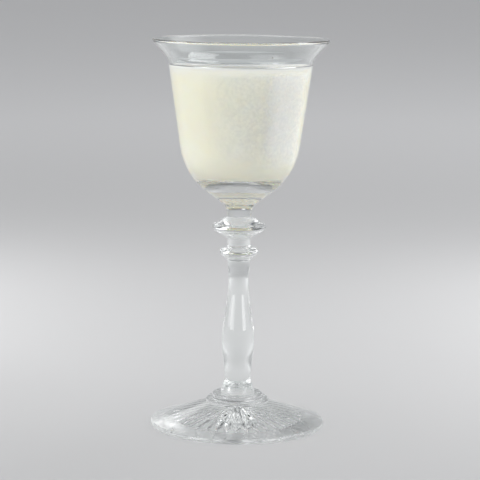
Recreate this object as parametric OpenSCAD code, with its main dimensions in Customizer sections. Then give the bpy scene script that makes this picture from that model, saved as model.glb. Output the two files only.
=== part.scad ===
// Stemmed cocktail glass, filled. The glass is built up from separate gathers that
// meet in flat fused seams: a rayed foot, a stepped collar, a baluster stem, two knops
// with a neck between them, and a bell bowl with a flared lip. Millimetres, +Z up,
// the origin at the middle of the ring that the foot stands on.

/* [Foot] */
// Diameter of the foot
foot_d = 76.6; // [66:0.1:100]
// Thickness of the foot's rounded edge
foot_edge = 2.4; // [1.6:0.1:4]
// Height of the foot at the seat of the collar
foot_h = 10.4; // [8:0.1:16]
// How far the top of the foot lies below a straight slope, halfway out
foot_sag = 0.3; // [0:0.1:0.8]
// Diameter of the hollow under the foot, inside the ring that it stands on
hollow_d = 55; // [40:0.5:58]
// Depth of the hollow at its middle
hollow_h = 3.8; // [1:0.1:5]
// Number of moulded rays in the hollow
ray_count = 36; // [12:2:60]
// Depth of a ray at its outer end
ray_depth = 1.1; // [0.4:0.1:1.6]
// Length of the slope at a ray's outer end
ray_end = 3; // [1:0.5:5]

/* [Collar] */
// Diameter of the lower step of the collar
low_step_d = 27.8; // [24:0.1:34]
// Height of the lower step
low_step_h = 1.8; // [1.4:0.1:4]
// Diameter of the upper step
high_step_d = 22.4; // [18:0.1:23.5]
// Height of the upper step
high_step_h = 2.2; // [1.4:0.1:4]
// Rounding of the edges of both steps
step_round = 1.2; // [0.2:0.1:1.3]
// Diameter of the skirt at its foot, on the upper step
skirt_d = 14.8; // [13:0.1:15.5]
// Height of the skirt
skirt_h = 6.4; // [3:0.1:9]

/* [Stem] */
// Length of the baluster stem
stem_h = 52.8; // [46:0.1:80]
// Diameter of the stem's foot, where it meets the skirt
stem_low_d = 11.4; // [9:0.1:12.5]
// Diameter of the stem's swelling
swell_d = 14.2; // [12.5:0.1:18]
// Height of the swelling above the stem's foot
swell_h = 16.5; // [10:0.1:24]
// Diameter of the stem's waist
waist_d = 8.6; // [7:0.1:8.9]
// Height of the waist above the stem's foot
waist_h = 43.6; // [30:0.1:45]
// Diameter of the stem's top, where it meets the lower knop
stem_top_d = 9.8; // [9:0.1:12]

/* [Knops] */
// Diameter of the lower knop
low_knop_d = 16.8; // [15:0.1:22]
// Height of the lower knop
low_knop_h = 5.8; // [5:0.1:10]
// Height of the lower knop's edge above the knop's foot
low_knop_mid = 3.6; // [2.5:0.1:4]
// Rounding of the lower knop's edge
low_knop_round = 1.4; // [0.5:0.1:2.2]
// Diameter of the neck between the knops, and of the seats beside it
neck_d = 10.1; // [8:0.1:12]
// Length of the neck between the knops
neck_h = 3.7; // [1:0.1:8]
// Diameter of the upper knop
high_knop_d = 23.5; // [19:0.1:30]
// Height of the upper knop
high_knop_h = 9.7; // [7:0.1:14]
// Height of the upper knop's edge above the knop's foot
high_knop_mid = 5.1; // [3.5:0.1:6]
// Rounding of the upper knop's edge
high_knop_round = 1.5; // [0.5:0.1:3]

/* [Bowl] */
// Height of the bowl, from its seat on the upper knop to the rim
bowl_h = 77.2; // [70:0.1:100]
// Diameter of the rim
rim_d = 76.6; // [72:0.1:95]
// Thickness of the bowl's wall and lip
wall = 1.4; // [0.9:0.1:2.2]
// Height of the flared lip
lip_h = 8.6; // [6:0.1:14]
// Diameter of the bowl where the lip starts to flare
mouth_d = 63; // [58:0.1:66]
// Radius of the bend under the lip
lip_bend = 6; // [1:0.5:12]
// Diameter of the bowl's belly, measured at its corner before that is rounded
belly_d = 48.4; // [44:0.1:54]
// Height of the belly's corner above the bowl's seat
belly_h = 17.8; // [15:0.1:20]
// Radius of the belly
belly_round = 30; // [10:0.5:35]
// Length of the bowl's own neck, under the belly
throat_h = 4.9; // [2:0.1:6]
// Diameter of the bowl's neck at its top, where the belly starts
throat_d = 12; // [9:0.1:16]
// Rounding between the bowl's neck and its belly
throat_round = 5; // [1:0.5:8]
// Height of the solid glass under the middle of the bowl's floor, above the bowl's seat
base_h = 19.7; // [17:0.1:22]
// Diameter of the floor's raised middle, measured at its corner before that is rounded
dome_d = 6; // [2:0.5:12]
// Rounding of the floor's raised middle
dome_round = 12; // [4:0.5:30]
// How far the floor falls from its middle to its edge
floor_fall = 2.3; // [0:0.1:3]
// Diameter of the bowl's floor, measured at its corner before that is rounded
floor_d = 30; // [26:0.5:32]
// Rounding round the bowl's floor
floor_round = 10; // [4:0.5:14]
// Height above the bowl's seat at which the inside of the belly turns into the wall
hip_h = 23.6; // [22.5:0.1:28]
// Radius of the inside of the belly
hip_round = 18; // [10:0.5:20]

/* [Drink] */
// Depth of the drink at its middle
drink_h = 45.7; // [15:0.1:47]
// Clearance between the drink and the bowl
drink_gap = 0.05; // [0.02:0.01:0.3]

/* [Hidden] */
$fn = 96;

// Largest turn between neighbouring points of an arc, in degrees
arc_step = 6;
// Steps along one rise or fall of the stem, and along the slope of the foot
curve_steps = 14;
// Reach of the cutter for the hollow below the foot
past = 1;

glass_colour = [0.86, 0.93, 0.95, 0.4];
drink_colour = [0.9, 0.88, 0.76];

// Heights of the seams, from the table up
collar_z = foot_h;
stem_z = collar_z + low_step_h + high_step_h + skirt_h;
low_knop_z = stem_z + stem_h;
neck_z = low_knop_z + low_knop_h;
high_knop_z = neck_z + neck_h;
bowl_z = high_knop_z + high_knop_h;

// Points on an arc round a middle, from one angle to another
function arc(middle, radius, from, to) =
    let(steps = max(2, ceil(abs(to - from) / arc_step)))
    [for (i = [0:steps])
        let(angle = from + (to - from) * i / steps)
        middle + radius * [cos(angle), sin(angle)]];

// Angle on a circle at which a line from p touches it, on the side that turn (1 or -1) picks
function touch(p, middle, radius, turn) =
    let(d = p - middle)
    atan2(d.y, d.x) + turn * acos(radius / norm(d));

// Half of the angle by which an outline turns at b, on its way from a to c
function half_turn(a, b, c) =
    let(u = b - a, w = c - b)
    atan2(cross(u, w), u * w) / 2;

// The arc of a radius that rounds the corner b between a and c
function corner(a, b, c, radius) =
    let(
        half = half_turn(a, b, c),
        side = sign(half),
        u = (b - a) / norm(b - a),
        start = b - u * radius * tan(abs(half)),
        middle = start + side * radius * [-u.y, u.x],
        from = atan2(start.y - middle.y, start.x - middle.x)
    )
    radius == 0 || half == 0 ? [b] : arc(middle, radius, from, from + 2 * half);

// An outline through points [r, z] or [r, z, radius], with corners rounded by their radius.
// Two arcs that would overlap on a short side share it.
function rounded(points) =
    let(
        last = len(points) - 1,
        at = [for (p = points) [p[0], p[1]]],
        bend = [for (p = points) len(p) > 2 ? p[2] : 0],
        reach = [for (i = [0:last])
            bend[i] == 0 ? 0 : bend[i] * tan(abs(half_turn(at[i - 1], at[i], at[i + 1])))],
        share = [for (i = [0:last - 1])
            min(1, norm(at[i + 1] - at[i]) / max(0.001, reach[i] + reach[i + 1]))]
    )
    [for (i = [0:last])
        each bend[i] == 0 ? [at[i]] :
            corner(at[i - 1], at[i], at[i + 1], bend[i] * min(share[i - 1], share[i]))];

// A smooth rise or fall from one [r, z] to another, upright at both ends
function swing(from, to) =
    [for (i = [0:curve_steps])
        let(t = i / curve_steps)
        [from.x + (to.x - from.x) * (1 - cos(180 * t)) / 2, from.y + (to.y - from.y) * t]];

// A shallow hollow curve from one [r, z] to another
function sagging(from, to, sag) =
    [for (i = [0:curve_steps])
        let(t = i / curve_steps)
        from + (to - from) * t - [0, 4 * sag * t * (1 - t)]];

// A closed outline turned round the Z axis, at a height
module turned(outline, z) {
    translate([0, 0, z]) rotate_extrude() polygon(outline);
}

// A knop: two cones that meet in a rounded edge
module knop(height, edge_z, edge_d, edge_round, low_d, top_d, z) {
    low = [low_d / 2, 0];
    top = [top_d / 2, height];
    middle = [edge_d / 2 - edge_round, edge_z];
    from = touch(low, middle, edge_round, 1);
    to = touch(top, middle, edge_round, -1);
    turned(concat([[0, 0], low], arc(middle, edge_round, from, to), [top, [0, height]]), z);
}

// The hollow under the foot: flat facets that fold up and down round the axis as rays
module rayed_hollow() {
    hollow_r = hollow_d / 2;
    ray_r = hollow_r - ray_end;
    ridge_z = hollow_h * ray_end / hollow_r;
    around = 2 * ray_count;
    rings = [[hollow_r, -past, -past], [hollow_r, 0, 0], [ray_r, ridge_z, ridge_z + ray_depth]];
    points = [
        for (ring = rings, i = [0:around - 1])
            let(angle = 360 * i / around)
            [ring[0] * cos(angle), ring[0] * sin(angle), ring[1 + i % 2]],
        [0, 0, hollow_h],
        [0, 0, -past]
    ];
    peak = 3 * around;
    faces = [
        for (i = [0:around - 1])
            let(j = (i + 1) % around)
            each [
                [peak + 1, i, j],
                for (low = [0, around]) each [
                    [low + i, low + around + i, low + j],
                    [low + j, low + around + i, low + around + j]
                ],
                [2 * around + i, peak, 2 * around + j]
            ]
    ];
    polyhedron(points, faces);
}

module foot() {
    seat = [low_step_d / 2, foot_h];
    edge_round = foot_edge / 2;
    middle = [foot_d / 2 - edge_round, edge_round];
    to = touch(seat, middle, edge_round, -1);
    edge = arc(middle, edge_round, -90, to);
    color(glass_colour)
    difference() {
        turned(concat([[0, 0]], edge, sagging(edge[len(edge) - 1], seat, foot_sag), [[0, foot_h]]), 0);
        rayed_hollow();
    }
}

module foot_collar() {
    low_r = low_step_d / 2;
    high_r = high_step_d / 2;
    skirt_r = skirt_d / 2;
    ledge_z = low_step_h + high_step_h;
    top_z = ledge_z + skirt_h;
    steps = rounded([
        [0, 0],
        [low_r, 0],
        [low_r, low_step_h, step_round],
        [high_r, low_step_h],
        [high_r, ledge_z, step_round],
        [skirt_r, ledge_z]
    ]);
    color(glass_colour)
    turned(concat(steps, swing([skirt_r, ledge_z], [stem_low_d / 2, top_z]), [[0, top_z]]), collar_z);
}

module baluster_stem() {
    low = [stem_low_d / 2, 0];
    swell = [swell_d / 2, swell_h];
    waist = [waist_d / 2, waist_h];
    top = [stem_top_d / 2, stem_h];
    color(glass_colour)
    turned(concat([[0, 0]], swing(low, swell), swing(swell, waist), swing(waist, top), [[0, stem_h]]), stem_z);
}

module lower_knop() {
    color(glass_colour)
    knop(low_knop_h, low_knop_mid, low_knop_d, low_knop_round, stem_top_d, neck_d, low_knop_z);
}

module knop_neck() {
    color(glass_colour)
    translate([0, 0, neck_z])
    cylinder(d = neck_d, h = neck_h);
}

module upper_knop() {
    color(glass_colour)
    knop(high_knop_h, high_knop_mid, high_knop_d, high_knop_round, neck_d, neck_d, high_knop_z);
}

// The rounded edge of the lip, and the angle at which the outside of the lip meets it
rim = [rim_d / 2 - wall / 2, bowl_h - wall / 2];
mouth = [mouth_d / 2, bowl_h - lip_h];
rim_turn = touch(mouth, rim, wall / 2, 1);

// The inside of the bowl from the middle of its floor up to the rim, taken in by a gap
function bowl_inside(gap) =
    let(
        belly = [belly_d / 2, belly_h],
        side = mouth - belly,
        inset = wall + gap,
        out = [side.y, -side.x] / norm(side),
        lip_out = [cos(rim_turn), sin(rim_turn)],
        hip_r = belly.x + side.x * (hip_h - belly_h) / side.y - inset / out.x
    )
    rounded([
        [0, base_h + gap],
        [dome_d / 2, base_h + gap, dome_round],
        [floor_d / 2 - gap, base_h - floor_fall + gap, floor_round],
        [hip_r, hip_h, hip_round],
        concat(mouth - (out + lip_out) * inset / (1 + out * lip_out), lip_bend + inset),
        rim - lip_out * (wall / 2 + gap)
    ]);

module bowl() {
    outside = rounded([
        [0, 0],
        [neck_d / 2, 0],
        [throat_d / 2, throat_h, throat_round],
        [belly_d / 2, belly_h, belly_round],
        concat(mouth, lip_bend),
        rim + wall / 2 * [cos(rim_turn), sin(rim_turn)]
    ]);
    inside = bowl_inside(0);
    color(glass_colour)
    turned(concat(
        outside,
        arc(rim, wall / 2, rim_turn, rim_turn + 180),
        [for (i = [len(inside) - 2:-1:0]) inside[i]]
    ), bowl_z);
}

module drink() {
    inside = bowl_inside(drink_gap);
    level = inside[0].y + drink_h;
    below = [for (p = inside) if (p.y < level) p];
    a = inside[len(below) - 1];
    b = inside[len(below)];
    brim_r = a.x + (b.x - a.x) * (level - a.y) / (b.y - a.y);
    color(drink_colour)
    turned(concat(below, [[brim_r, level], [0, level]]), bowl_z);
}

foot();
foot_collar();
baluster_stem();
lower_knop();
knop_neck();
upper_knop();
bowl();
drink();
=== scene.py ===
import math
import random

import bpy
import bmesh
from mathutils import Matrix, Vector


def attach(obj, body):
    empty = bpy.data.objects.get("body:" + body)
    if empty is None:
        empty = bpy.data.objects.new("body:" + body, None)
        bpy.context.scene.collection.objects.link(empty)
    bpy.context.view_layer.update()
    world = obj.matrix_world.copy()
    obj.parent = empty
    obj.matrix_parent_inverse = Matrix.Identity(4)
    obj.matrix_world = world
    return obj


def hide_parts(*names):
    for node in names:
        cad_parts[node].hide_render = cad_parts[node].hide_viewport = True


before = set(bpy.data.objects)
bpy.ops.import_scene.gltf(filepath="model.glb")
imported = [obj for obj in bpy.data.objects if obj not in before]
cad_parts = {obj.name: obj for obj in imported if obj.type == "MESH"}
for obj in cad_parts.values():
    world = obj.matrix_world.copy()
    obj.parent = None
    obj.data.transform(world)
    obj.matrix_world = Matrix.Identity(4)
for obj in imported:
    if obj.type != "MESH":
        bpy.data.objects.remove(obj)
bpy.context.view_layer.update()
mm = 0.001
scene = bpy.context.scene
print("frame loaded:", ", ".join(sorted(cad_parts)))


# camera at the photograph's angle
view = {
    "distance": 840.3 * mm,    # from the glass's axis
    "height": 211.1 * mm,
    "pitch": 8.71,             # degrees below level
    "roll": 0.6,               # the glass leans a little to the right
    "focalPixels": 1943.0,
    "imagePixels": 480.0,      # the image is square
    "axisX": 239.0,            # where the lens axis meets the image
    "axisY": 239.7,
    "sensor": 36.0,
    "clip": (0.01, 100.0),
}


def placeCamera(v):
    data = bpy.data.cameras.new("camera")
    size = v["imagePixels"]
    data.sensor_width = v["sensor"]
    data.lens = v["focalPixels"] / size * v["sensor"]
    data.shift_x = (size / 2 - v["axisX"]) / size
    data.shift_y = (v["axisY"] - size / 2) / size
    data.clip_start, data.clip_end = v["clip"]
    camera = bpy.data.objects.new("camera", data)
    tilt = Matrix.Rotation(math.radians(90 - v["pitch"]), 4, "X")
    roll = Matrix.Rotation(math.radians(v["roll"]), 4, "Z")
    camera.matrix_world = Matrix.Translation((0, -v["distance"], v["height"])) @ tilt @ roll
    scene.collection.objects.link(camera)
    scene.camera = camera


placeCamera(view)
print("camera placed")


# every glass piece is turned again, with finer curves, from the circles of its own CAD node
turning = {
    "around": 160,        # faces round the axis
    "finer": 3,           # steps put between two circles of a smooth curve
    "corner": 24.0,       # degrees of turn that stay a crease
    "straight": 0.3,      # degrees of turn that stay straight
    "same": 0.02 * mm,    # circles closer than this are one
    "point": 1e-7,        # metres below which a circle or a gap is a point
}


def nodeOutline(name, keep=lambda r, z: True):
    # the node's circles as (radius, height), in order along its outline
    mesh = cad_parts[name].data
    same = turning["same"]
    beside = [(i, j) for i in (0, -1, 1) for j in (0, -1, 1)]
    rings, cells, ringOf = [], {}, {}
    for v in mesh.vertices:
        r, z = math.hypot(v.co.x, v.co.y), v.co.z
        if r < same or not keep(r, z):
            continue
        a, b = round(r / same), round(z / same)
        near = [cells[a + i, b + j] for i, j in beside if (a + i, b + j) in cells]
        if not near:
            cells[a, b] = len(rings)
            rings.append((r, z))
        ringOf[v.index] = near[0] if near else cells[a, b]
    joined = {i: set() for i in range(len(rings))}
    for e in mesh.edges:
        i, j = (ringOf.get(k) for k in e.vertices)
        if i is not None and j is not None and i != j:
            joined[i].add(j)
            joined[j].add(i)
    ends = [i for i in joined if len(joined[i]) == 1]
    at = min(ends, key=lambda i: (rings[i][1], -rings[i][0]))
    path, seen = [], set()
    while at is not None:
        path.append(rings[at])
        seen.add(at)
        ahead = [j for j in joined[at] if j not in seen]
        at = ahead[0] if ahead else None
    if len(path) != len(rings):
        raise RuntimeError(f"the outline of {name} took {len(path)} of {len(rings)} circles")
    return [Vector(p) for p in path]


def bendAt(points, i):
    if i in (0, len(points) - 1):
        return 0.0
    a, b = points[i] - points[i - 1], points[i + 1] - points[i]
    return abs(math.degrees(a.angle_signed(b)))


def smoothOutline(points):
    # a curve through the circles that keeps straight runs straight and creases sharp
    out, creases = [], set()
    last = len(points) - 1
    crease = [bendAt(points, i) > turning["corner"] for i in range(last + 1)]

    def lean(i, side):
        back = points[i] - points[i - 1] if i > 0 else None
        ahead = points[i + 1] - points[i] if i < last else None
        if crease[i] or back is None or ahead is None:
            way = (ahead if side > 0 else back) or back or ahead
            return way.normalized()
        return (back + ahead).normalized()    # the longer run sets the direction

    for i in range(last):
        p, q = points[i], points[i + 1]
        span = (q - p).length
        s, e = lean(i, 1) * span, lean(i + 1, -1) * span
        bent = max(s.angle(q - p), e.angle(q - p)) > math.radians(turning["straight"])
        steps = turning["finer"] if bent else 1
        if crease[i]:
            creases.add(len(out))
        for k in range(steps):
            t = k / steps
            out.append(p * (2 * t**3 - 3 * t**2 + 1) + s * (t**3 - 2 * t**2 + t)
                       + q * (3 * t**2 - 2 * t**3) + e * (t**3 - t**2))
    out.append(points[last])
    return out, creases


def spin(bm, outline, creases=(), material=0, around=turning["around"]):
    # turns an outline of (radius, height) round the axis and gives back its rings of vertices
    turns = [2 * math.pi * k / around for k in range(around)]
    rings = []
    for r, z in outline:
        if r < turning["point"]:
            rings.append([bm.verts.new((0, 0, z))])
        else:
            rings.append([bm.verts.new((r * math.sin(a), -r * math.cos(a), z)) for a in turns])
    stitch(bm, rings, creases, material=material)
    return rings


def stitch(bm, rings, creases=(), flip=False, material=0):
    # faces between each ring and the next; the rings in creases get sharp edges
    for low, up in zip(rings, rings[1:]):
        n = max(len(low), len(up))
        for k in range(n):
            m = (k + 1) % n
            corners = [low[k % len(low)], low[m % len(low)], up[m % len(up)], up[k % len(up)]]
            corners = list(dict.fromkeys(corners))
            face = bm.faces.new(corners[::-1] if flip else corners)
            face.smooth = True
            face.material_index = material
    for ring in (rings[i] for i in creases):
        for k, corner in enumerate(ring):
            edge = bm.edges.get((corner, ring[(k + 1) % len(ring)]))
            if edge:
                edge.smooth = False


def makePiece(name, bm, materials, node=None):
    mesh = bpy.data.meshes.new(name)
    bm.to_mesh(mesh)
    bm.free()
    piece = bpy.data.objects.new(name, mesh)
    scene.collection.objects.link(piece)
    for m in materials:
        mesh.materials.append(m)
    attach(piece, "root")
    if node:
        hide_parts(node)


def towards(azimuth, elevation):
    # a direction from the glass; azimuth 0 is the camera's side, 90 its right
    az, el = math.radians(azimuth), math.radians(elevation)
    return Vector((math.sin(az) * math.cos(el), -math.cos(az) * math.cos(el), math.sin(el)))


# shader helpers

def addNode(tree, kind, x, y, **values):
    # each value is a setting of the node or, failing that, one of its sockets
    node = tree.nodes.new(kind)
    node.location = (x, y)
    for key, value in values.items():
        if hasattr(node, key):
            setattr(node, key, value)
        else:
            node.inputs[key].default_value = value
    return node


def addMath(tree, kind, a, b, x, y):
    node = addNode(tree, "ShaderNodeMath", x, y, operation=kind)
    tree.links.new(a, node.inputs[0])
    tree.links.new(b, node.inputs[1])
    return node.outputs[0]


def addRange(tree, source, low, high, x, y, to=(0.0, 1.0), kind="SMOOTHSTEP"):
    node = addNode(tree, "ShaderNodeMapRange", x, y, interpolation_type=kind)
    for label, value in zip(("From Min", "From Max", "To Min", "To Max"), (low, high) + to):
        node.inputs[label].default_value = value
    tree.links.new(source, node.inputs["Value"])
    return node.outputs[0]


def addTint(tree, share, first, second, x, y):
    node = addNode(tree, "ShaderNodeMix", x, y, data_type="RGBA")
    node.inputs["A"].default_value = first
    node.inputs["B"].default_value = second
    tree.links.new(share, node.inputs["Factor"])
    return node.outputs["Result"]


def newMaterial(name):
    material = bpy.data.materials.new(name)
    material.use_nodes = True
    material.node_tree.nodes.clear()
    return material, material.node_tree


def newGroup(name, inputs, outputs):
    group = bpy.data.node_groups.new(name, "ShaderNodeTree")
    for label in inputs:
        group.interface.new_socket(label, in_out="INPUT", socket_type="NodeSocketFloat")
    for label, kind in outputs.items():
        group.interface.new_socket(label, in_out="OUTPUT", socket_type=kind)
    return group, addNode(group, "NodeGroupInput", -900, 0), addNode(group, "NodeGroupOutput", 700, 0)


# clear glass
glassLook = {
    "ior": 1.5,
    "surface": {
        "waveSize": 55.0, "waveDepth": 1.0,     # slow waves of hand-worked glass
        "lineSize": 700.0, "lineDepth": 0.05,   # turning lines
        "smear": 0.04, "even": 0.0,             # roughness of finger smears, and all over
    },
    "smearSize": 85.0, "smearRange": (0.5, 0.78),
    "tints": ((0.975, 0.99, 0.985, 1), (0.955, 0.98, 0.972, 1)),
    "bump": 0.05, "bumpDistance": 0.4 * mm,
    "shade": (0.96, 0.965, 0.965, 1),
}


def handGlassGroup(look):
    group, gin, gout = newGroup(
        "handGlass", look["surface"],
        {"tint": "NodeSocketColor", "roughness": "NodeSocketFloat", "height": "NodeSocketFloat"},
    )
    link = group.links.new
    place = addNode(group, "ShaderNodeTexCoord", -900, 300)
    waves = addNode(group, "ShaderNodeTexNoise", -600, 300, Detail=1.0, Roughness=0.4)
    link(place.outputs["Object"], waves.inputs["Vector"])
    link(gin.outputs["waveSize"], waves.inputs["Scale"])
    upright = addNode(group, "ShaderNodeSeparateXYZ", -750, 60)
    link(place.outputs["Object"], upright.inputs[0])
    along = addMath(group, "MULTIPLY", upright.outputs["Z"], gin.outputs["lineSize"], -580, 60)
    lines = addNode(group, "ShaderNodeTexNoise", -400, 60, noise_dimensions="1D", Scale=1.0, Detail=2.0)
    link(along, lines.inputs["W"])
    wave = addMath(group, "MULTIPLY", waves.outputs["Fac"], gin.outputs["waveDepth"], -200, 240)
    line = addMath(group, "MULTIPLY", lines.outputs["Fac"], gin.outputs["lineDepth"], -200, 60)
    link(addMath(group, "ADD", wave, line, 0, 160), gout.inputs["height"])
    smears = addNode(group, "ShaderNodeTexNoise", -400, -180, Scale=look["smearSize"],
                     Detail=4.0, Roughness=0.6, Distortion=0.6)
    link(place.outputs["Object"], smears.inputs["Vector"])
    spots = addRange(group, smears.outputs["Fac"], *look["smearRange"], -200, -180, kind="LINEAR")
    rough = addNode(group, "ShaderNodeMath", 0, -120, operation="MULTIPLY_ADD")
    link(spots, rough.inputs[0])
    link(gin.outputs["smear"], rough.inputs[1])
    link(gin.outputs["even"], rough.inputs[2])
    link(rough.outputs[0], gout.inputs["roughness"])
    link(addTint(group, waves.outputs["Fac"], *look["tints"], 200, 320), gout.inputs["tint"])
    return group


def glassMaterial(name, look):
    material, tree = newMaterial(name)
    link = tree.links.new
    surface = addNode(tree, "ShaderNodeGroup", -600, 0, node_tree=handGlass, **look["surface"])
    glass = addNode(tree, "ShaderNodeBsdfPrincipled", 0, 0, IOR=look["ior"])
    glass.inputs["Transmission Weight"].default_value = 1.0
    link(surface.outputs["tint"], glass.inputs["Base Color"])
    link(surface.outputs["roughness"], glass.inputs["Roughness"])
    bump = addNode(tree, "ShaderNodeBump", -250, -250,
                   Strength=look["bump"], Distance=look["bumpDistance"])
    link(surface.outputs["height"], bump.inputs["Height"])
    link(bump.outputs["Normal"], glass.inputs["Normal"])
    # lamps and light from the floor shine through the glass onto what is behind it
    path = addNode(tree, "ShaderNodeLightPath", 0, 400)
    clear = addNode(tree, "ShaderNodeBsdfTransparent", 0, -420, Color=look["shade"])
    bounced = addNode(tree, "ShaderNodeMixShader", 320, 0)
    link(path.outputs["Is Diffuse Ray"], bounced.inputs[0])
    link(glass.outputs[0], bounced.inputs[1])
    link(clear.outputs[0], bounced.inputs[2])
    direct = addNode(tree, "ShaderNodeMixShader", 520, 0)
    link(path.outputs["Is Shadow Ray"], direct.inputs[0])
    link(bounced.outputs[0], direct.inputs[1])
    link(clear.outputs[0], direct.inputs[2])
    out = addNode(tree, "ShaderNodeOutputMaterial", 720, 0)
    link(direct.outputs[0], out.inputs["Surface"])
    return material


handGlass = handGlassGroup(glassLook)
clearGlass = glassMaterial("clearGlass", glassLook)
print("glass material made")


# drink
drinkLook = {
    "cream": (0.88, 0.865, 0.74, 1),
    "deep": (0.845, 0.82, 0.685, 1),
    "cloudSize": 38.0, "cloudRange": (0.3, 0.75),
    "subsurface": 1.0,
    "spread": 18 * mm,
    "spreadShares": (1.0, 0.9, 0.7),    # red goes furthest
    "sideRoughness": 0.5, "topRoughness": 0.04,
    "iorToGlass": 0.9,                  # the drink's index over the glass's
    "iorToAir": 1.35,
    "pressIn": 0.08 * mm,               # how far it reaches into the wall, so no air shows between them
    "meniscus": 1.1 * mm,               # how far it is drawn up at the wall
    "meniscusWidth": 2.2 * mm,
    "meniscusSteps": 12, "meniscusFall": 4.5, "meniscusLess": 0.3,
    "surfaceRings": (0.97, 0.9, 0.75, 0.5, 0.25, 0.0),
}


def drinkCloudsGroup(look):
    group, gin, gout = newGroup("drinkClouds", ["cloudSize"], {"colour": "NodeSocketColor"})
    link = group.links.new
    place = addNode(group, "ShaderNodeTexCoord", -900, 100)
    clouds = addNode(group, "ShaderNodeTexNoise", -600, 100, Detail=3.0, Roughness=0.55, Distortion=0.8)
    link(place.outputs["Object"], clouds.inputs["Vector"])
    link(gin.outputs["cloudSize"], clouds.inputs["Scale"])
    soft = addRange(group, clouds.outputs["Fac"], *look["cloudRange"], -300, 100, kind="LINEAR")
    link(addTint(group, soft, look["cream"], look["deep"], 100, 100), gout.inputs["colour"])
    return group


drinkClouds = drinkCloudsGroup(drinkLook)


def drinkMaterial(name, look, againstGlass):
    material, tree = newMaterial(name)
    link = tree.links.new
    clouds = addNode(tree, "ShaderNodeGroup", -300, 100,
                     node_tree=drinkClouds, cloudSize=look["cloudSize"])
    liquid = addNode(tree, "ShaderNodeBsdfPrincipled", 0, 100, IOR=look["iorToAir"],
                     Roughness=look["sideRoughness" if againstGlass else "topRoughness"])
    link(clouds.outputs["colour"], liquid.inputs["Base Color"])
    liquid.inputs["Subsurface Weight"].default_value = look["subsurface"]
    liquid.inputs["Subsurface Radius"].default_value = look["spreadShares"]
    liquid.inputs["Subsurface Scale"].default_value = look["spread"]
    out = addNode(tree, "ShaderNodeOutputMaterial", 600, 0)
    if not againstGlass:
        link(liquid.outputs[0], out.inputs["Surface"])
        return material
    # where the glass lies on it, it mirrors only at a flat angle
    liquid.inputs["Specular IOR Level"].default_value = 0.0
    edge = addNode(tree, "ShaderNodeFresnel", 0, 320, IOR=look["iorToGlass"])
    mirror = addNode(tree, "ShaderNodeBsdfGlossy", 0, -420, Roughness=0.0)
    both = addNode(tree, "ShaderNodeMixShader", 320, 0)
    link(edge.outputs[0], both.inputs[0])
    link(liquid.outputs[0], both.inputs[1])
    link(mirror.outputs[0], both.inputs[2])
    link(both.outputs[0], out.inputs["Surface"])
    return material


def makeDrink(look):
    outline = smoothOutline(nodeOutline("drink"))[0]
    last = len(outline) - 1
    sides = []
    for i, p in enumerate(outline):
        way = (outline[min(i + 1, last)] - outline[max(i - 1, 0)]).normalized()
        sides.append(Vector((p.x + way.y * look["pressIn"], p.y - way.x * look["pressIn"])))
    floor = Vector((0.0, sides[0].y))
    brim, belowBrim = sides[-1], sides[-4]
    level = outline[-1].y
    # the surface, drawn up at the wall
    edge = brim + (brim - belowBrim).normalized() * look["meniscus"]
    top = [edge]
    for k in range(1, look["meniscusSteps"] + 1):
        t = k / look["meniscusSteps"]
        climb = (edge.y - level) * math.exp(-look["meniscusFall"] * t) * (1 - t * look["meniscusLess"])
        top.append(Vector((edge.x - look["meniscusWidth"] * t, level + climb)))
    top += [Vector((top[-1].x * share, level)) for share in look["surfaceRings"]]
    bm = bmesh.new()
    spin(bm, [floor] + sides + [edge])
    spin(bm, top, material=1)
    bmesh.ops.remove_doubles(bm, verts=bm.verts, dist=turning["point"])
    finishes = [drinkMaterial("cloudyDrink", look, True), drinkMaterial("drinkSurface", look, False)]
    makePiece("drinkBody", bm, finishes, "drink")


makeDrink(drinkLook)
print("drink made")


# collar, stem, knops and bowl
turnedPieces = {
    "collarGlass": "foot_collar",
    "stemGlass": "baluster_stem",
    "lowerKnopGlass": "lower_knop",
    "neckGlass": "knop_neck",
    "upperKnopGlass": "upper_knop",
}


def makeTurned(name, node, floor=False):
    outline, creases = smoothOutline(nodeOutline(node))
    if floor:
        outline.append(Vector((0.0, outline[-1].y)))    # the floor's middle
    bm = bmesh.new()
    spin(bm, outline, creases)
    makePiece(name, bm, [clearGlass], node)


for name, node in turnedPieces.items():
    makeTurned(name, node)
print("collar, stem and knops made")
makeTurned("bowlGlass", "bowl", floor=True)
print("bowl made")


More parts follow.
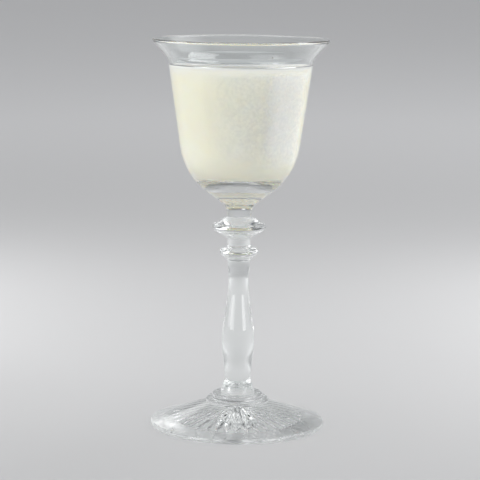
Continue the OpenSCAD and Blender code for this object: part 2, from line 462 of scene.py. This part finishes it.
# mist on the cold outside of the bowl, with a few drops in it; its white middle is thicker mist and
# also a painted highlight of the light on the right
mistLook = {
    "layers": 5, "off": 0.02 * mm,             # thin layers, and how far each lies off the one below
    "low": 112 * mm, "lowFull": 127 * mm,
    "highFull": 154.5 * mm, "high": 157.5 * mm,
    "endGap": 0.2 * mm,                        # no circle of the wall is taken closer to an end
    # the mist is bluish grey where thin, and white where thick; the white is partly a painted highlight
    "thin": (0.55, 0.60, 0.72, 1), "thickAndSheen": (0.96, 0.97, 0.985, 1),
    "roughness": 0.45, "ior": 1.33,
    # patches: azimuth of the middle, and degrees from it where they start and end to fade
    "main": (45, 4, 28), "mainShare": 0.19,    # and how much one layer hides
    "wide": (20, 6, 56), "wideShare": 0.055,
    # the white patch is whiter mist with a painted highlight of the right-hand light on it
    "paintedSheen": (56, 18, 44),                     # where the thick colour is
    "ragged": 0.02, "raggedSize": 150.0,       # how the patches' edges wander
    "patchSize": 700.0, "patchKeep": 0.66,
    "grainSize": 2400.0, "grainKeep": 0.94,
    "noiseRange": (0.36, 0.64),
    "bump": 0.15, "bumpDistance": 0.05 * mm,
    "seed": 11, "drops": 160,
    "dropSizes": (0.12 * mm, 0.36 * mm),
    "wideEvery": 3,                            # every third drop is in the wide patch
    "dropSpread": {"main": 17, "wide": 34},    # in degrees
    "dropMargins": (6 * mm, 2 * mm),           # clear of the mist's lower and upper end
    "specks": ((23, 163.6 * mm), (28.5, 162.7 * mm)), "speckSize": 0.34 * mm,
    # a drop is a low dome: lift off the wall and reach of its circles, in shares of its size
    "dropSides": 10,
    "dropCircles": ((-0.08, 1.0), (0.28, 0.93), (0.52, 0.64)), "dropTop": 0.64,
}


def mistMaterial(look):
    material, tree = newMaterial("coldMistAndSheen")
    link = tree.links.new
    place = addNode(tree, "ShaderNodeTexCoord", -1500, 0)
    level = addNode(tree, "ShaderNodeVectorMath", -1300, 300, operation="MULTIPLY")
    level.inputs[1].default_value = (1, 1, 0)
    link(place.outputs["Object"], level.inputs[0])
    around = addNode(tree, "ShaderNodeVectorMath", -1150, 300, operation="NORMALIZE")
    link(level.outputs[0], around.inputs[0])
    wander = addNode(tree, "ShaderNodeTexNoise", -1300, 600, Scale=look["raggedSize"], Detail=3.0)
    link(place.outputs["Object"], wander.inputs["Vector"])
    ragged = addNode(tree, "ShaderNodeMath", -1150, 600, operation="MULTIPLY_ADD")
    link(wander.outputs["Fac"], ragged.inputs[0])
    ragged.inputs[1].default_value = look["ragged"]
    ragged.inputs[2].default_value = -look["ragged"] / 2

    def patch(middle, full, end, share, y):
        ahead = addNode(tree, "ShaderNodeVectorMath", -1000, y, operation="DOT_PRODUCT")
        ahead.inputs[1].default_value = towards(middle, 0)
        link(around.outputs[0], ahead.inputs[0])
        edge = addMath(tree, "ADD", ahead.outputs["Value"], ragged.outputs[0], -900, y)
        low, high = math.cos(math.radians(end)), math.cos(math.radians(full))
        return addRange(tree, edge, low, high, -800, y, (0.0, share))

    def grains(size, detail, keep, y):
        noise = addNode(tree, "ShaderNodeTexNoise", -1000, y, Scale=size, Detail=detail, Roughness=0.65)
        link(place.outputs["Object"], noise.inputs["Vector"])
        return addRange(tree, noise.outputs["Fac"], *look["noiseRange"], -800, y, (keep, 1.0))

    main = patch(*look["main"], look["mainShare"], 450)
    wide = patch(*look["wide"], look["wideShare"], 250)
    area = addMath(tree, "ADD", main, wide, -600, 350)
    parts = addNode(tree, "ShaderNodeSeparateXYZ", -1000, 0)
    link(place.outputs["Object"], parts.inputs[0])
    lower = addRange(tree, parts.outputs["Z"], look["low"], look["lowFull"], -800, 50)
    upper = addRange(tree, parts.outputs["Z"], look["high"], look["highFull"], -800, -120)
    up = addMath(tree, "MULTIPLY", lower, upper, -600, 0)
    coarse = grains(look["patchSize"], 5.0, look["patchKeep"], -320)
    fine = grains(look["grainSize"], 2.0, look["grainKeep"], -500)
    speckle = addMath(tree, "MULTIPLY", coarse, fine, -600, -400)
    share = addMath(tree, "MULTIPLY", addMath(tree, "MULTIPLY", area, up, -400, 200), speckle, -250, 0)
    # painted highlight: the mist turns white where the light on the right would gleam on it
    paintedSheen = patch(*look["paintedSheen"], 1.0, 650)
    mist = addNode(tree, "ShaderNodeBsdfPrincipled", 0, 0, Roughness=look["roughness"], IOR=look["ior"])
    link(addTint(tree, paintedSheen, look["thin"], look["thickAndSheen"], -250, 300), mist.inputs["Base Color"])
    link(share, mist.inputs["Alpha"])
    bump = addNode(tree, "ShaderNodeBump", -250, -350,
                   Strength=look["bump"], Distance=look["bumpDistance"])
    link(fine, bump.inputs["Height"])
    link(bump.outputs["Normal"], mist.inputs["Normal"])
    out = addNode(tree, "ShaderNodeOutputMaterial", 300, 0)
    link(mist.outputs[0], out.inputs["Surface"])
    return material


def addDrop(bm, look, at, way, size):
    # closed where it sits on the wall
    side = way.cross(Vector((0, 0, 1))).normalized()
    up = side.cross(way)
    n = look["dropSides"]
    spokes = [side * math.cos(a) + up * math.sin(a) for a in (2 * math.pi * k / n for k in range(n))]
    rings = [[bm.verts.new(at + way * (size * lift) + spoke * (size * reach)) for spoke in spokes]
             for lift, reach in look["dropCircles"]]
    rings.append([bm.verts.new(at + way * (size * look["dropTop"]))])
    stitch(bm, rings)
    bm.faces.new(rings[0])


def makeMist(look):
    outline = smoothOutline(nodeOutline("bowl"))[0]
    rim = max(range(len(outline)), key=lambda i: outline[i].y)
    wall = outline[:rim + 1]    # the outside

    def wallAt(z):
        i = next(i for i in range(1, len(wall)) if wall[i].y >= z)
        a, b = wall[i - 1], wall[i]
        return a.x + (b.x - a.x) * (z - a.y) / (b.y - a.y), (b - a).normalized()

    def onWall(azimuth, z):
        r, run = wallAt(z)
        out = towards(azimuth, 0)
        return out * r + Vector((0, 0, z)), (out * run.y - Vector((0, 0, run.x))).normalized()

    # the wall's own circles between the mist's two ends, and the ends
    low, high, gap = look["low"], look["high"], look["endGap"]
    heights = [low] + [p.y for p in wall if low + gap < p.y < high - gap] + [high]
    circles = [(z, *wallAt(z)) for z in heights]
    bm = bmesh.new()
    for k in range(look["layers"]):
        off = look["off"] * (k + 1)
        spin(bm, [Vector((r + run.y * off, z - run.x * off)) for z, r, run in circles])
    makePiece("bowlMistAndSheen", bm, [mistMaterial(look)])

    rng = random.Random(look["seed"])
    bm = bmesh.new()
    small, large = look["dropSizes"]
    clearLow, clearHigh = look["dropMargins"]
    for k in range(look["drops"]):
        patch = "main" if k % look["wideEvery"] else "wide"
        azimuth = rng.gauss(look[patch][0], look["dropSpread"][patch])
        at, way = onWall(azimuth, rng.uniform(low + clearLow, high - clearHigh))
        addDrop(bm, look, at, way, small + (large - small) * rng.random() ** 2)
    for azimuth, z in look["specks"]:
        addDrop(bm, look, *onWall(azimuth, z), look["speckSize"])
    bmesh.ops.recalc_face_normals(bm, faces=bm.faces)
    water = {**glassLook, "ior": look["ior"], "bump": 0.0}
    makePiece("bowlDrops", bm, [glassMaterial("dropWater", water)])


makeMist(mistLook)
print("mist made")


# foot
footLook = {
    # the scuffed ring that it stands on
    "ground": {**glassLook["surface"], "smear": 0.3, "even": 0.22},
    "hollow": 27.5 * mm,       # radius of the hollow under the foot
    "hollowDepth": 3.8 * mm,
    "hollowTop": 4.8 * mm,     # nothing of the hollow is higher
    "edgeGap": 0.1 * mm,       # circles closer to the hollow's edge belong to it
    "rays": 36,
    "rayDepth": 1.1 * mm,
    "rayEnd": 3.0 * mm,        # length over which a ray runs out
    "rayRings": 12,
    "across": 8,               # faces across one ray
}


def makeFoot(look):
    hollow, rayReach = look["hollow"], look["hollow"] - look["rayEnd"]
    n = look["rays"] * look["across"]

    def outside(r, z):
        return z > look["hollowTop"] or r > hollow + look["edgeGap"]

    outline, creases = smoothOutline(nodeOutline("foot", outside))
    bm = bmesh.new()
    rings = spin(bm, outline, creases, around=n)
    # the rays
    radii = [hollow, hollow - look["rayEnd"] / 2, rayReach]
    radii += [rayReach * k / look["rayRings"] for k in range(look["rayRings"] - 1, 0, -1)]
    under = []
    for r in radii:
        ridge = look["hollowDepth"] * (1 - r / hollow)
        fold = look["rayDepth"] * (r / rayReach if r <= rayReach else (hollow - r) / look["rayEnd"])
        ring = []
        for k in range(n):
            angle = 2 * math.pi * k / n
            up = 1 - abs(2 * (k % look["across"]) / look["across"] - 1)
            ring.append(bm.verts.new((r * math.sin(angle), -r * math.cos(angle), ridge + fold * up)))
        under.append(ring)
    under.append([bm.verts.new((0, 0, look["hollowDepth"]))])
    # the ring that it stands on, from the outline's lowest and innermost circle
    lowest = min(range(len(rings)), key=lambda i: (outline[i].y, outline[i].x))
    flip = lowest == 0
    stitch(bm, [rings[lowest], under[0]], (0, 1), flip, material=1)
    stitch(bm, under, (0,), flip)
    bmesh.ops.recalc_face_normals(bm, faces=bm.faces)
    scuffed = glassMaterial("scuffedGlass", {**glassLook, "surface": look["ground"]})
    makePiece("footGlass", bm, [clearGlass, scuffed], "foot")


makeFoot(footLook)
print("foot made")


# studio
studio = {
    "nearColour": (0.56, 0.56, 0.565, 1),    # floor close to the glass
    "farColour": (0.80, 0.80, 0.81, 1),      # floor towards the back
    "near": 0.25, "far": 1.6,                # metres from the glass
    "floorReach": 20.0,
    "floorGap": 0.05 * mm,
    "floorRoughness": 0.9, "floorGloss": 0.1,
    "horizon": (0.52, 0.525, 0.54, 1), "horizonAt": 0.06,
    "upper": (0.16, 0.165, 0.17, 1), "upperAt": 0.4,
    "glows": {
        # soft bright spots of the world: azimuth, elevation,
        # degrees from the middle where it starts and ends to fade, brightness
        "glowTop": (0, 86, 10, 40, 0.4),
        "glowLeft": (-70, 10, 6, 26, 2.6),
        "glowLowLeft": (-48, 5, 4, 22, 3.4),
        "glowLowRight": (48, 5, 4, 20, 4.8),
        "glowRight": (78, 10, 6, 26, 0.5),
        "glowBack": (-166, 24, 2, 9, 1.3),
        "glowBackRight": (130, 50, 6, 24, 1.2),
    },
    "softboxes": {
        # azimuth, elevation, distance, width, height, brightness
        "softboxRight": (78, 38, 2.4, 2.25, 1.05, 3.6),
        "softboxFront": (-45, 30, 1.9, 1.6, 1.2, 1.3),
    },
    "tables": {
        # place, width, length, brightness of a lamp over the floor at the glass's side
        "tableLeft": ((-0.29, 0.22, 0.22), 0.24, 0.44, 2.1),
        "tableRight": ((0.29, 0.22, 0.22), 0.24, 0.44, 1.9),
    },
    "aim": (0.0, 0.0, 0.10),
    "bounces": {
        "max_bounces": 32, "transmission_bounces": 32,
        "glossy_bounces": 24, "transparent_max_bounces": 32,
    },
}


def makeFloor(s):
    mesh = bpy.data.meshes.new("studioFloor")
    reach, low = s["floorReach"], -s["floorGap"]
    corners = [(x * reach, y * reach, low) for x, y in ((-1, -1), (1, -1), (1, 1), (-1, 1))]
    mesh.from_pydata(corners, [], [(0, 1, 2, 3)])
    floor = bpy.data.objects.new("studioFloor", mesh)
    scene.collection.objects.link(floor)
    material, tree = newMaterial("studioFloor")
    place = addNode(tree, "ShaderNodeTexCoord", -900, 0)
    away = addNode(tree, "ShaderNodeVectorMath", -700, 0, operation="LENGTH")
    tree.links.new(place.outputs["Object"], away.inputs[0])
    share = addRange(tree, away.outputs["Value"], s["near"], s["far"], -500, 0)
    paint = addNode(tree, "ShaderNodeBsdfPrincipled", 0, 0, Roughness=s["floorRoughness"])
    paint.inputs["Specular IOR Level"].default_value = s["floorGloss"]
    colour = addTint(tree, share, s["nearColour"], s["farColour"], -250, 0)
    tree.links.new(colour, paint.inputs["Base Color"])
    out = addNode(tree, "ShaderNodeOutputMaterial", 300, 0)
    tree.links.new(paint.outputs[0], out.inputs["Surface"])
    mesh.materials.append(material)


def makeWorld(s):
    world = bpy.data.worlds.new("studioWorld")
    world.use_nodes = True
    tree = world.node_tree
    tree.nodes.clear()
    place = addNode(tree, "ShaderNodeTexCoord", -800, 0)
    parts = addNode(tree, "ShaderNodeSeparateXYZ", -600, 0)
    tree.links.new(place.outputs["Generated"], parts.inputs[0])
    ramp = addNode(tree, "ShaderNodeValToRGB", -400, 0)
    for element, label in zip(ramp.color_ramp.elements, ("horizon", "upper")):
        element.position = s[label + "At"]
        element.color = s[label]
    tree.links.new(parts.outputs["Z"], ramp.inputs[0])
    colour = ramp.outputs[0]
    for k, (azimuth, elevation, inner, outer, bright) in enumerate(s["glows"].values()):
        y = -250 - 200 * k
        ahead = addNode(tree, "ShaderNodeVectorMath", -600, y, operation="DOT_PRODUCT")
        ahead.inputs[1].default_value = towards(azimuth, elevation)
        tree.links.new(place.outputs["Generated"], ahead.inputs[0])
        low, high = math.cos(math.radians(outer)), math.cos(math.radians(inner))
        spot = addRange(tree, ahead.outputs["Value"], low, high, -400, y)
        lit = addNode(tree, "ShaderNodeMix", -100 + 150 * k, -100, data_type="RGBA", blend_type="ADD")
        tree.links.new(spot, lit.inputs["Factor"])
        tree.links.new(colour, lit.inputs["A"])
        lit.inputs["B"].default_value = (bright, bright, bright, 1)
        colour = lit.outputs["Result"]
    sky = addNode(tree, "ShaderNodeBackground", 1100, 0, Strength=1.0)
    tree.links.new(colour, sky.inputs["Color"])
    out = addNode(tree, "ShaderNodeOutputWorld", 1300, 0)
    tree.links.new(sky.outputs[0], out.inputs["Surface"])
    scene.world = world


def addLamp(name, place, way, width, height, bright, mirrored=True):
    data = bpy.data.lights.new(name, "AREA")
    data.shape = "RECTANGLE"
    data.size, data.size_y = width, height
    data.energy = bright * math.pi * width * height
    lamp = bpy.data.objects.new(name, data)
    lamp.location = place
    lamp.rotation_euler = (-way).to_track_quat("-Z", "Y").to_euler()
    lamp.visible_camera = False
    lamp.visible_glossy = lamp.visible_transmission = mirrored
    scene.collection.objects.link(lamp)


def makeLamps(s):
    for name, (azimuth, elevation, distance, *panel) in s["softboxes"].items():
        way = towards(azimuth, elevation)
        addLamp(name, Vector(s["aim"]) + way * distance, way, *panel)
    # these aren't mirrored in the glass, whose edges show the floor that they brighten
    for name, (place, *panel) in s["tables"].items():
        addLamp(name, place, Vector((0, 0, 1)), *panel, mirrored=False)


makeFloor(studio)
makeWorld(studio)
makeLamps(studio)
scene.view_settings.view_transform = "Standard"
for name, count in studio["bounces"].items():
    setattr(scene.cycles, name, count)
scene.cycles.caustics_refractive = False
scene.cycles.caustics_reflective = False
print("studio made")
